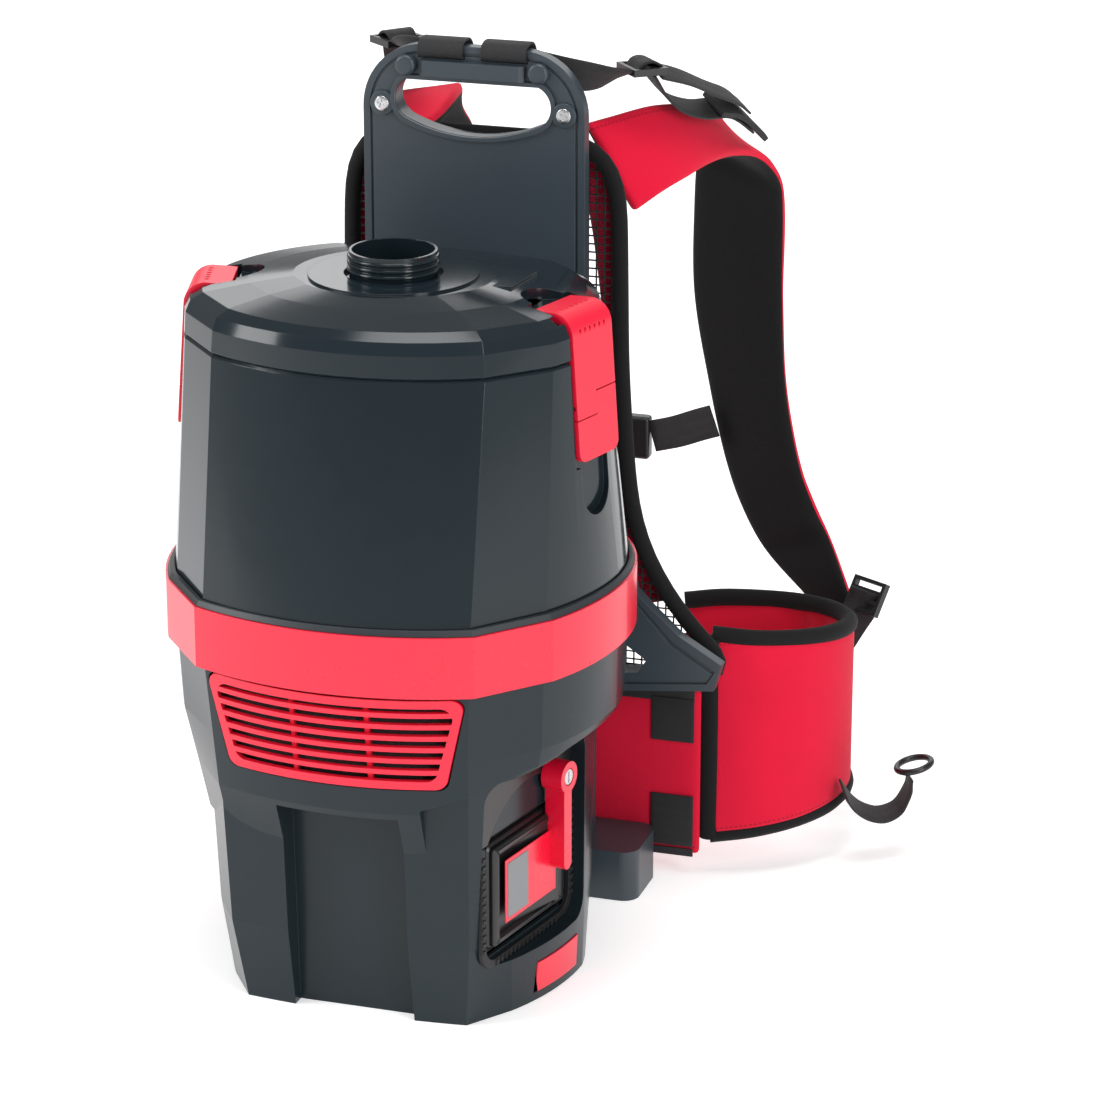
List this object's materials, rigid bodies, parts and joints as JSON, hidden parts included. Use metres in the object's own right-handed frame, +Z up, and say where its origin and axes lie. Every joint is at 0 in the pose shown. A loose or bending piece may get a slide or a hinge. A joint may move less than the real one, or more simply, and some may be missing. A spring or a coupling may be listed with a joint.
{
  "type": "backpack vacuum cleaner",
  "caption": "Cordless backpack vacuum cleaner: canister with latched lid, hose neck, exhaust grille and battery port on a frame with padded straps and hip belt.",
  "frame": {"origin": "on the floor under the hose neck, at the middle of the canister's base", "axes": "+Z up along the hose neck; -Y is the side with the exhaust grille, +Y the harness and the wearer; +X is the side of the battery port, the wearer's right"},
  "size_m": [0.5756, 0.5764, 0.616],
  "materials": {
    "slate_plastic": "moulded, glossy",
    "latch_plastic": "moulded, satin",
    "grille_plastic": "moulded, satin",
    "black_plastic": "moulded, matte",
    "battery_plastic": "moulded, satin",
    "red_plastic": "moulded, glossy",
    "frame_grey": "moulded, satin",
    "dark_rubber": "moulded seal",
    "steel": "turned",
    "motor_metal": "pressed and plain",
    "stator_iron": "lacquered laminations",
    "contact_brass": "plain",
    "board_laminate": "laminate",
    "filter_cloth": "non-woven",
    "filter_foam": "open-cell foam",
    "red_fabric": "padded woven cloth",
    "black_fabric": "tape binding",
    "black_webbing": "woven webbing",
    "spacer_mesh": "open mesh cloth"
  },
  "bodies": {
    "frame_and_canister": {"lower_housing": "slate_plastic", "band_ring": "red_plastic", "motor_deck": "black_plastic", "bin": "slate_plastic", "bin_gasket": "dark_rubber", "lid": "slate_plastic", "lid_seal": "dark_rubber", "hose_neck": "slate_plastic", "lever_pins": "steel", "bag_collar": "black_plastic", "dust_bag": "filter_cloth", "motor_filter": "filter_foam", "motor_can": "motor_metal", "motor_stator": "stator_iron", "motor_seal": "dark_rubber", "motor_mount": "black_plastic", "shaft_bearing": "steel", "battery_bay": "black_plastic", "bay_contacts": "contact_brass", "battery_pack": "battery_plastic", "port_seal": "dark_rubber", "port_cover": "black_plastic", "lever_screw": "steel", "power_switch": "black_plastic", "control_board": "board_laminate", "exhaust_grille": "grille_plastic", "exhaust_foam": "filter_foam", "frame_board": "frame_grey", "frame_rear_shell": "frame_grey", "grip_rim": "frame_grey", "frame_foot": "frame_grey", "strap_bar": "black_plastic", "frame_fasteners": "steel", "canister_brackets": "black_plastic", "back_mesh": "spacer_mesh", "panel_binding": "black_fabric", "back_cushions": "red_fabric", "lumbar_pad": "red_fabric", "lumbar_shell": "red_fabric", "lumbar_webbing": "black_webbing", "right_shoulder_pad": "red_fabric", "left_shoulder_pad": "red_fabric", "right_hip_wing": "red_fabric", "left_hip_wing": "red_fabric", "belt_ring": "black_plastic", "harness_webbing": "black_webbing", "ladder_locks": "black_plastic", "sternum_socket": "black_plastic", "sternum_clip": "black_plastic"},
    "right_lever": {"right_latch_lever": "latch_plastic"},
    "right_hook": {"right_latch_hook": "latch_plastic", "right_hook_pin": "steel"},
    "left_lever": {"left_latch_lever": "latch_plastic"},
    "left_hook": {"left_latch_hook": "latch_plastic", "left_hook_pin": "steel"},
    "port_lever": {"battery_lever": "red_plastic"},
    "button": {"power_button": "red_plastic"},
    "rotor": {"rotor_shaft": "steel", "rotor_armature": "stator_iron", "rotor_fan": "motor_metal"}
  },
  "joints": [
    {"name": "right_lever_hinge", "type": "hinge", "parent": "frame_and_canister", "child": "right_lever", "pos_m": [0.13554, -0.01256, 0.43578], "axis": [-0.2756, -0.9613, 0], "range_deg": [0, 100]},
    {"name": "right_hook_hinge", "type": "hinge", "parent": "right_lever", "child": "right_hook", "pos_m": [0.14287, -0.01467, 0.42432], "axis": [-0.2756, -0.9613, 0], "range_deg": [-120, 0]},
    {"name": "left_lever_hinge", "type": "hinge", "parent": "frame_and_canister", "child": "left_lever", "pos_m": [-0.13554, -0.01256, 0.43578], "axis": [-0.2756, 0.9613, 0], "range_deg": [0, 100]},
    {"name": "left_hook_hinge", "type": "hinge", "parent": "left_lever", "child": "left_hook", "pos_m": [-0.14287, -0.01467, 0.42432], "axis": [-0.2756, 0.9613, 0], "range_deg": [-120, 0]},
    {"name": "battery_lever_hinge", "type": "hinge", "parent": "frame_and_canister", "child": "port_lever", "pos_m": [0.11876, -0.01179, 0.156], "axis": [-0.9781, 0.2079, 0], "range_deg": [0, 95]},
    {"name": "power_button_press", "type": "slide", "parent": "frame_and_canister", "child": "button", "axis": [-1, 0, 0], "range_m": [0, 0.003], "stiffness_N_per_m": 300},
    {"name": "rotor_spin", "type": "hinge", "parent": "frame_and_canister", "child": "rotor", "pos_m": [-0.032, 0.025, 0.14], "axis": [0, 0, 1], "continuous": true}
  ],
  "couplings": [
    {"joint": "right_hook_hinge", "follows": "right_lever_hinge", "ratio": -1.2},
    {"joint": "left_hook_hinge", "follows": "left_lever_hinge", "ratio": -1.2}
  ]
}
